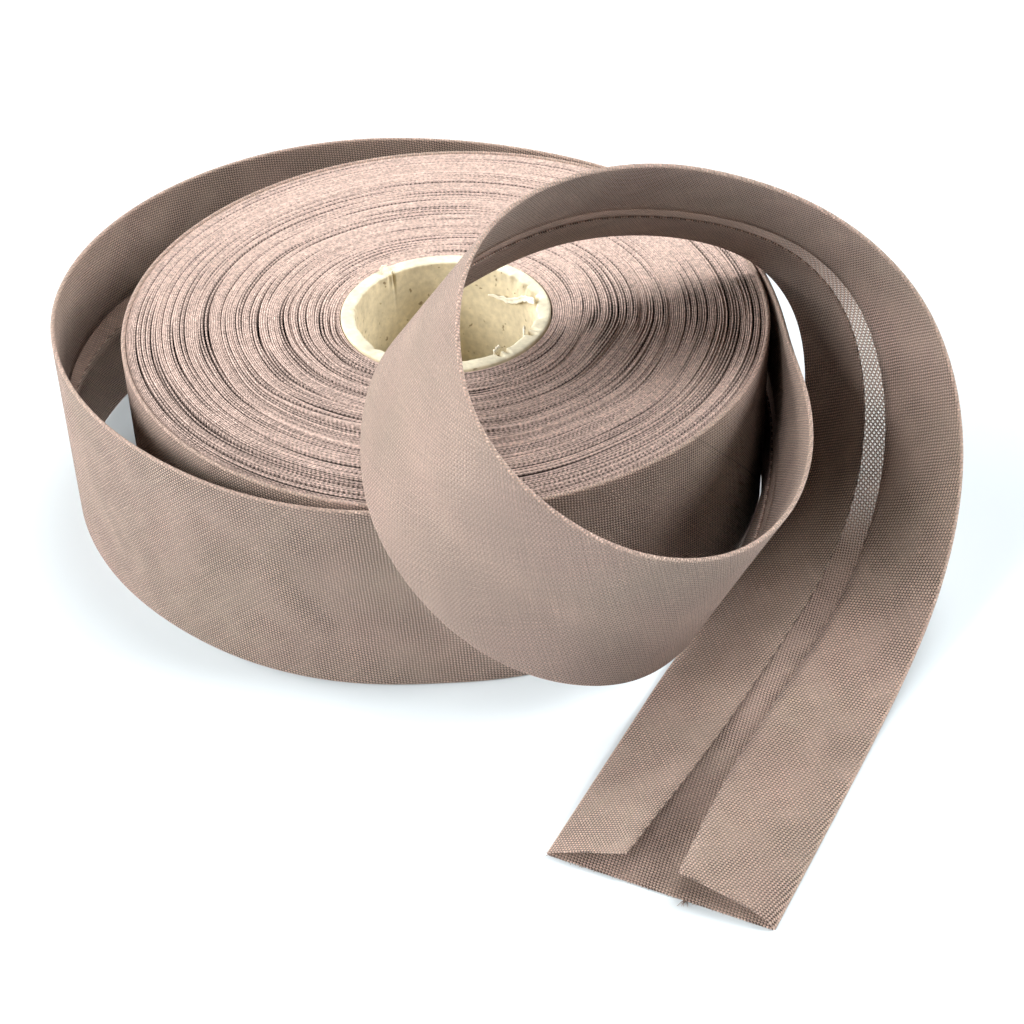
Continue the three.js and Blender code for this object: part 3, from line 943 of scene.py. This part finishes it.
@dataclass
class Windings:
    """The turns of the roll, seen on one end as one spiral of folded edges.

    The tape winds outwards clockwise, seen from above, and ends where the loose end
    leaves. Lengths are in millimetres. wander is how uneven the spacing is, sunk how far
    a turn may sink, and groove, deepest and edge_groove are the depths between turns.
    half_ridge is a share of the pitch, and underneath flattens the lower end.
    """

    face: Face
    height: float = 40.0
    bore_radius: float = 20.45
    outer_radius: float = 61.1
    turns: int = 95
    per_turn: int = 236
    leaving: float = -88.4
    partings: int = 760
    calm: float = 0.24
    front: float = -100.0
    wander: float = 0.06
    sunk: float = 1.6
    groove: float = 0.3
    deepest: float = 3.5
    edge_groove: float = 2.5
    half_ridge: float = 0.36
    underneath: float = 0.6
    seed: int = 7
    roughness: float = 1.0

    def unrest(self, bearing: Array) -> Array:
        """How unevenly the turns lie: most in front and at the left, least behind.

        It is calm + (1 - calm) * (half a cosine about the front) to the power of 2.2.

        Args:
            bearing: the bearings, in radians.

        Returns:
            A share, up to 1.
        """
        towards = 0.5 + 0.5 * np.cos(bearing - math.radians(self.front))
        return self.calm + (1 - self.calm) * towards**2.2

    def radii(self, rng: Generator, angle: Array) -> Array:
        """The radius of the fold along the whole spiral.

        The distance between neighbouring turns is even, apart from the partings, each
        a bell curve along the tape. The radius adds these distances up, turn by turn,
        and is scaled so that the last turn lies at the outside.

        Args:
            rng: the seeded source of numbers.
            angle: the angle walked along the spiral, in radians.

        Returns:
            The radius at each angle.
        """
        pitch = (self.outer_radius - self.bore_radius) / self.turns
        spacing = np.full(len(angle), pitch)
        spacing += self.wander * self.roughness * smooth_noise(rng, self.turns * 9, len(angle))
        spans = {"radius": (21.5, 60), "bearing": (-180, 180), "spread": (8, 40)}
        radius, bearing, spread = (
            np.append([getattr(row, name) for row in PARTINGS], rng.uniform(*span, self.partings))
            for name, span in spans.items()
        )
        opened = 0.12 + 0.85 * rng.random(self.partings) ** 2.2
        opened *= self.unrest(np.radians(bearing[len(PARTINGS) :]))
        width = np.concatenate([[row.width for row in PARTINGS], opened]) * self.roughness
        turn = np.round((radius - self.bore_radius) / pitch)
        middle = 2 * np.pi * turn + np.radians((self.leaving - bearing) % 360)
        for place, reach, size in zip(middle, np.radians(spread), width):
            near = slice(*np.searchsorted(angle, (place - 3 * reach, place + 3 * reach)))
            spacing[near] += size * np.exp(-(((angle[near] - place) / reach) ** 2))
        n = self.per_turn
        spiral = np.empty(len(angle))
        first = self.bore_radius + pitch * angle[:n] / (2 * np.pi)
        whole = len(angle) // n * n
        laps = spacing[:whole].reshape(-1, n)
        spiral[:whole] = (first[None] + np.cumsum(laps, 0) - laps[0]).reshape(-1)
        spiral[whole:] = spiral[whole - n : whole - n + len(angle) - whole] + spacing[whole:]
        last = slice(self.turns * n, self.turns * n + n)
        target = self.bore_radius + pitch * angle / (2 * np.pi)
        stretch = (target[last] - self.bore_radius) / (spiral[last] - self.bore_radius)
        return self.bore_radius + (spiral - self.bore_radius) * stretch[np.arange(len(angle)) % n]

    def build(self, shop: Workshop, edges: Material) -> Object:
        """Makes one end of the roll.

        Each turn is a rounded ridge of four vertices: the valley before it, its two
        shoulders and its crest. The next valley is the next turn's own. Some turns
        sink below their neighbours for a part of their way round.

        Args:
            shop: puts it into the model's frame.
            edges: its finish.

        Returns:
            The piece.
        """
        rng = np.random.default_rng(self.seed)
        n = self.per_turn
        count = (self.turns + 1) * n + 1
        angle = np.arange(count) * 2 * np.pi / n
        bearing = np.radians(self.leaving) - angle
        crest = self.radii(rng, angle)
        pitch = (self.outer_radius - self.bore_radius) / self.turns
        before = np.concatenate([crest[:n] - pitch, crest[:-n]])
        after = np.concatenate([crest[n:], crest[-n:] + pitch])
        valley = (before + crest) / 2
        parted = np.maximum(crest - before - 1.1 * pitch, 0)
        uneven = self.roughness * self.unrest(bearing)
        drop = 0.06 + 0.09 * uneven * (1 + smooth_noise(rng, self.turns * 14, count))
        low = np.maximum(smooth_noise(rng, self.turns * 6, count) - 0.45, 0)
        drop += self.sunk * uneven * low**1.5
        slow = np.sin(bearing + np.radians(9) * crest) * 0.075
        slow += np.sin(3 * bearing - np.radians(5) * crest) * 0.05
        drop += 0.125 + 0.5 * slow * self.roughness
        drop += 0.5 * self.levels(crest) * self.roughness
        depth = self.groove + np.minimum(16.0 * parted, self.deepest)
        step = np.arange(count)
        depth = np.maximum(depth, self.edge_groove * ((step < n) | (step >= self.turns * n)))
        valley_drop = (np.concatenate([drop[:n], drop[:-n]]) + drop) / 2 + depth
        inner = crest - self.half_ridge * np.minimum(crest - before, pitch * 1.1)
        outer = crest + self.half_ridge * np.minimum(after - crest, pitch * 1.1)
        radii = np.stack([valley, inner, crest, outer], -1)
        drops = np.stack([valley_drop, drop + 0.05, drop, drop + 0.05], -1)
        middle = (self.outer_radius + self.bore_radius) / 2
        reach = (self.outer_radius - self.bore_radius) / 2
        inside = np.maximum(1 - ((radii - middle) / reach) ** 2, 0)
        turned = bearing[:, None]
        waves = 0.5 * np.sin(2 * turned + np.radians(3) * radii)
        waves = waves + 0.25 * np.sin(3 * turned - np.radians(40))
        radii = radii + inside * waves
        level = self.height - drops if self.face is Face.UPPER else drops * self.underneath
        points = round_axis(radii, turned, level).reshape(-1, 3)
        # The four strips of each step along the tape: three on the turn, one to the next
        row = np.arange(self.turns * n)[:, None]
        here = row * 4 + np.arange(4)[None, :]
        outward = np.where(np.arange(4) < 3, here + 1, here - 3 + 4 * n)
        faces = np.stack([here, outward, outward + 4, here + 4], -1).reshape(-1, 4)
        length = np.cumsum(crest) * 2 * np.pi / n * MM
        lap = np.floor(angle[: self.turns * n] / (2 * np.pi) + 1e-6)
        strip = lap[:, None] + np.arange(4)[None, :] / 4
        start = np.broadcast_to(length[: self.turns * n, None], strip.shape)
        end = np.broadcast_to(length[1 : self.turns * n + 1, None], strip.shape)
        across = np.stack([strip, strip + 0.2499, strip + 0.2499, strip], -1)
        along = np.stack([start, start, end, end], -1)
        uv = np.stack([along, across], -1).reshape(-1, 4, 2)
        if self.face is Face.UPPER:
            faces, uv = faces[:, ::-1], uv[:, ::-1]
        used = np.zeros(len(points), bool)
        used[faces.reshape(-1)] = True
        number = np.cumsum(used) - 1
        # How strong the painted shade in each groove is: full where turns part, and strong in
        # front, more in some places along the spiral than others
        front = (self.unrest(bearing) - self.calm) / (1 - self.calm)
        loose = 0.5 + 0.5 * smooth_noise(rng, self.turns * 3, count)
        dark = np.clip(parted / 0.1 + 1.5 * front**1.3 * loose, 0, 1)
        marks = {"parted": np.repeat(dark, 4)[used]}
        name = f"wound_turns_{self.face.value}"
        return shop.piece(name, points[used], number[faces], uv.reshape(-1, 2), edges, marks)

    @staticmethod
    def levels(radius: Array) -> Array:
        """How far groups of turns sit below the top, as smooth steps outwards."""
        steps = ((22, 0.4), (23.3, 0.1), (27.8, 0.3), (32.2, 0.0), (36.6, 0.3), (39.4, 0.1))
        steps += ((42.4, 0.4), (46.0, 0.2), (50.3, 0.0), (54.0, 0.3), (57.6, 0.1))
        places = [p + side for p, _ in steps for side in (-0.4, 0.4)]
        before = [0.4] + [value for _, value in steps[:-1]]
        values = [v for pair in zip(before, (value for _, value in steps)) for v in pair]
        return np.interp(radius, places, values)


@dataclass
class WoundRoll:
    """The wound turns, on both ends of the roll."""

    parts: list[Object] = field(default_factory=list)

    def build(self, shop: Workshop, edges: Material) -> None:
        """Makes the roll's pieces.

        Args:
            shop: puts them into the model's frame.
            edges: the finish of the tape's folded edges.
        """
        upper = Windings(Face.UPPER)
        lower = Windings(Face.LOWER, per_turn=96, seed=11, roughness=0.6)
        for windings in (upper, lower):
            piece = windings.build(shop, edges)
            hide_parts("wound_roll")
            self.parts.append(piece)


@dataclass(frozen=True)
class Tear:
    """A torn place on the core's upper inner rim.

    bearing and spread are in degrees. In millimetres, bite is how far it eats into the
    wall, drop how far the rim sinks, and reach how far down the wall it goes.
    """

    bearing: float
    spread: float
    bite: float
    drop: float
    reach: float = 1.1


@dataclass(frozen=True)
class Shred:
    """A shred of the tube's inner ply, torn loose but for one end.

    Each point is a bearing in degrees, a level from the floor and how far it stands
    off the wall, in millimetres. Its width tapers to its tip, which is its last point.
    """

    name: str
    points: tuple[tuple[float, float, float], ...]
    width: float
    upright: bool = False


TEARS = tuple(
    Tear(*row)
    for row in (
        (-58, 3.0, 0.5, 0.9), (-53, 2.2, 0.7, 0.7), (-30, 2.4, 0.8, 1.3), (-25, 1.8, 0.6, 1.0),
        (-10, 7, 0.4, 0.5), (12, 13, 1.1, 0.6, 4.2), (37, 5, 0.5, 0.4, 1.6),
        (27, 3, 0.5, 0.3, 2.0), (124.5, 1.4, 0.8, 0.7, 3.5), (128, 2.2, 0.3, 0.3, 2.5),
        (171, 6, 0.4, 0.4), (-140, 5, 0.3, 0.3),
    )
)

SHREDS = (
    Shred(
        "core_shred_curled",
        (
            (4, 40.1, 0.2), (12, 39.4, 0.8), (18, 38.6, 0.9), (25.5, 37.4, 0.9), (31, 35.9, 0.8),
            (37, 34.8, 0.7), (42, 34.2, 0.7), (50, 34.3, 0.7), (59, 33.8, 0.7),
        ),
        1.15,
    ),
    Shred(
        "core_shred_standing",
        ((127, 39.6, -1.0), (127.5, 40.2, -1.7), (127.5, 40.8, -2.5)),
        1.8,
        True,
    ),
    Shred("core_shred_front", ((-33, 39.8, 0.0), (-29, 39.9, 0.7), (-26, 40.2, 1.0)), 0.8),
    Shred("core_shred_left", ((-60, 39.9, 0.1), (-56, 40.1, 0.6), (-53, 39.7, 1.1)), 0.8),
)


@dataclass
class CardboardCore:
    """The thick cardboard tube that the tape is wound on. Lengths in millimetres."""

    outer: float = 20.2
    inner: float = 17.4
    height: float = 40.0
    round: float = 0.4
    around: int = 540
    seed: int = 5

    def build(self, shop: Workshop, board: Material, torn: Material) -> Object:
        """Makes the tube: a closed outline turned about the axis, then torn and dented.

        Args:
            shop: puts it into the model's frame.
            board: its finish.
            torn: the finish of the shreds of its torn ply.

        Returns:
            The piece.
        """
        rng = np.random.default_rng(self.seed)
        top, r = self.height, self.round
        inner_wall = [(self.inner, z) for z in np.linspace(r, top - 5.6, 8)]
        inner_rim = [(self.inner, top - z) for z in (4.8, 4.0, 3.3, 2.7, 2.1, 1.6, 1.1, 0.7)]
        corners = [(r * math.cos(a), r * math.sin(a)) for a in np.linspace(0, np.pi / 2, 4)]
        inner_edge = [(self.inner + r - x, top - r + y) for x, y in corners]
        rim = [(self.inner + x, top) for x in (0.7, 1.1, 1.6, 2.0)]
        outer_edge = [(self.outer - r + y, top - r + x) for x, y in corners]
        lower_edge = [(self.outer - r + x, r - y) for x, y in corners]
        lower_inner = [(self.inner + r - y, r - x) for x, y in corners[:-1]]
        upper = inner_wall + inner_rim + inner_edge + rim + outer_edge
        profile = np.array(upper + [(self.outer, top / 2)] + lower_edge + lower_inner)
        bearing = np.linspace(0, 2 * np.pi, self.around, endpoint=False)
        radius = profile[None, :, 0] + 0 * bearing[:, None]
        level = profile[None, :, 1] + 0 * bearing[:, None]
        ragged, fine, broad = (
            smooth_noise(rng, knots, self.around + 1)[:-1][:, None] for knots in (200, 110, 22)
        )
        inward = np.exp(-(((radius - self.inner) / 1.3) ** 2))
        near = np.exp(-(((level - top) / 1.1) ** 2)) * inward
        degrees = np.degrees(bearing)
        for tear in TEARS:
            away = np.abs((degrees - tear.bearing + 180) % 360 - 180) / tear.spread
            strength = (0.5 + 0.5 * np.cos(np.pi * np.minimum(away, 1)))[:, None]
            strength = strength * (1 + 0.35 * ragged)
            deep = np.exp(-(((level - top) / tear.reach) ** 2)) * inward
            radius = radius + tear.bite * strength * deep
            level = level - tear.drop * strength * near
        radius = radius + (0.08 * fine + 0.10 * broad + 0.04 * ragged) * near
        rim_near = np.exp(-(((level - top) / 0.5) ** 2))
        level = level - rim_near * (0.08 * np.abs(broad) + 0.05 * np.abs(fine))
        turned = bearing[:, None]
        points = round_axis(radius, turned, level).reshape(-1, 3)
        here = np.arange(len(points)).reshape(self.around, -1)
        above, after = np.roll(here, -1, 1), np.roll(here, -1, 0)
        faces = np.stack([here, above, np.roll(after, -1, 1), after], -1).reshape(-1, 4)
        piece = shop.piece("core_tube", points, faces, None, board)
        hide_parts("cardboard_core")
        for number, shred in enumerate(SHREDS):
            self.shred(shop, shred, torn, number)
        return piece

    def shred(self, shop: Workshop, shred: Shred, torn: Material, number: int) -> Object:
        """Makes a torn shred: a ragged ribbon along its points, thickened to a ply.

        The ribbon's two edges lie at half its width to either side of its points, up
        and down the wall, or along it where the shred is upright. Noise frays them.

        Args:
            shop: puts it into the model's frame.
            shred: its points and width.
            torn: its finish.
            number: sets its noise.

        Returns:
            The piece.
        """
        rng = np.random.default_rng(self.seed + 10 + number)
        rows, columns = 48, 5
        table = np.array(shred.points, float)
        share = np.linspace(0, 1, rows)
        knots = np.linspace(0, 1, len(table))
        bearing, level, off = blur(read_path(table, knots, share), 3).T
        taper = shred.width * (1 - share**7) * 0.5 + 0.06
        upper = taper * (1 + 0.45 * smooth_noise(rng, 16, rows))
        lower = taper * (1 + 0.45 * smooth_noise(rng, 16, rows))
        side = np.linspace(-1, 1, columns)[None, :]
        reach = np.where(side > 0, upper[:, None], lower[:, None]) * side
        angle = np.radians(bearing)[:, None]
        stands = off[:, None] + 0.18 * shred.width * (side**2)
        stands = stands + 0.08 * smooth_noise(rng, 30, rows)[:, None]
        radius = self.inner - stands
        if shred.upright:
            angle = angle + reach / self.inner
            height = level[:, None] + 0 * side
        else:
            height = level[:, None] + reach
        points = round_axis(radius, angle, height).reshape(-1, 3)
        piece = shop.piece(shred.name, points, grid_faces(rows, columns), None, torn)
        thicken(piece, 0.3)
        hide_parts("cardboard_core")
        return piece


# Each softbox: its name, bearing, rise, strength and spread
LAMPS = (
    ("softbox above", 45, 70, 1.9, 30),
    ("softbox front left", 210, 30, 3.6, 30),
    ("softbox back left", 150, 12, 3.8, 30),
    ("softbox right", 0, 30, 3.1, 30),
)


@dataclass
class Studio:
    """A plain pale floor, soft light and the camera at the photograph's angle."""

    focal: float = 76.19
    floor_colour: str = "#e6eff3"
    floor_reach: float = 30.0

    def camera(self, shop: Workshop) -> None:
        """Makes the camera, from its place and its turn about the roll's axis.

        Args:
            shop: gives the axis.
        """
        data = bpy.data.cameras.new("camera")
        data.lens = self.focal
        data.sensor_width = 36
        data.clip_start = 0.01
        data.clip_end = 50
        camera = bpy.data.objects.new("camera", data)
        forward = Vector((0.0260, 0.7815, -0.6234)).normalized()
        level = forward.cross(Vector((0, 0, 1))).normalized()
        upright = level.cross(forward)
        roll = math.radians(-1.6065)
        right = level * math.cos(roll) + upright * math.sin(roll)
        up = right.cross(forward)
        turn = Matrix((right, up, -forward)).transposed()
        place = shop.axis + Vector((0, -349.75, 268.74)) * MM
        camera.matrix_world = Matrix.Translation(place) @ turn.to_4x4()
        bpy.context.scene.collection.objects.link(camera)
        bpy.context.scene.camera = camera

    def lamp(self, name: str, bearing: float, rise: float, strength: float, spread: float) -> None:
        """Adds a large, far softbox, as a broad sun.

        Args:
            name: its name.
            bearing: where it stands, in degrees from +X towards +Y.
            rise: how high it stands, in degrees.
            strength: the light that falls on a sheet square to it, in watts per square metre.
            spread: how broad it looks from the object, in degrees.
        """
        data = bpy.data.lights.new(name, "SUN")
        data.energy = strength
        data.angle = math.radians(spread)
        lamp = bpy.data.objects.new(name, data)
        rise, bearing = math.radians(rise), math.radians(bearing)
        towards = Vector(round_axis(math.cos(rise), bearing, math.sin(rise)))
        lamp.rotation_euler = (-towards).to_track_quat("-Z", "Y").to_euler()
        lamp.location = towards
        bpy.context.scene.collection.objects.link(lamp)

    def build(self, shop: Workshop) -> None:
        """Makes the floor, the lights, the surroundings and the camera.

        Args:
            shop: gives the axis.
        """
        half = self.floor_reach
        corners = [(-half, -half, 0), (half, -half, 0), (half, half, 0), (-half, half, 0)]
        mesh = bpy.data.meshes.new("floor")
        mesh.from_pydata(corners, [], [(0, 1, 2, 3)])
        material, add = blank_material("matt white paper sweep")
        face = add(
            "BsdfPrincipled",
            {"Base Color": self.floor_colour, "Roughness": 0.9, "Specular IOR Level": 0.1},
        )
        add("OutputMaterial", {"Surface": face})
        mesh.materials.append(material)
        floor = bpy.data.objects.new("floor", mesh)
        bpy.context.scene.collection.objects.link(floor)
        floor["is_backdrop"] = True
        world = bpy.data.worlds.new("white surroundings")
        world.use_nodes = True
        background = world.node_tree.nodes["Background"]
        background.inputs["Color"].default_value = (0.85, 0.95, 1.0, 1.0)
        background.inputs["Strength"].default_value = 0.04
        bpy.context.scene.world = world
        for lamp in LAMPS:
            self.lamp(*lamp)
        bpy.context.scene.view_settings.view_transform = "Standard"
        self.camera(shop)


def main() -> None:
    """Builds the sub-assemblies in order and reports each piece."""
    logging.basicConfig(level=logging.INFO, format="%(name)s: %(message)s")
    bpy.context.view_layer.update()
    shop = Workshop.from_core()
    cotton = BiasCotton().make()
    edges = WoundEdges().make()
    board = PressedCardboard().make()
    torn = PressedCardboard("torn ply of the same board", kraft="#ebe3cd", rim="#ebe3cd").make()
    LooseEnd(FoldedTape()).build(shop, cotton, CottonYarn().make())
    WoundRoll().build(shop, edges)
    CardboardCore().build(shop, board, torn)
    Studio().build(shop)
    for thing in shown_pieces():
        LOG.info("%s: %d faces", thing.name, len(thing.data.polygons))


if __name__ == "__main__":
    main()
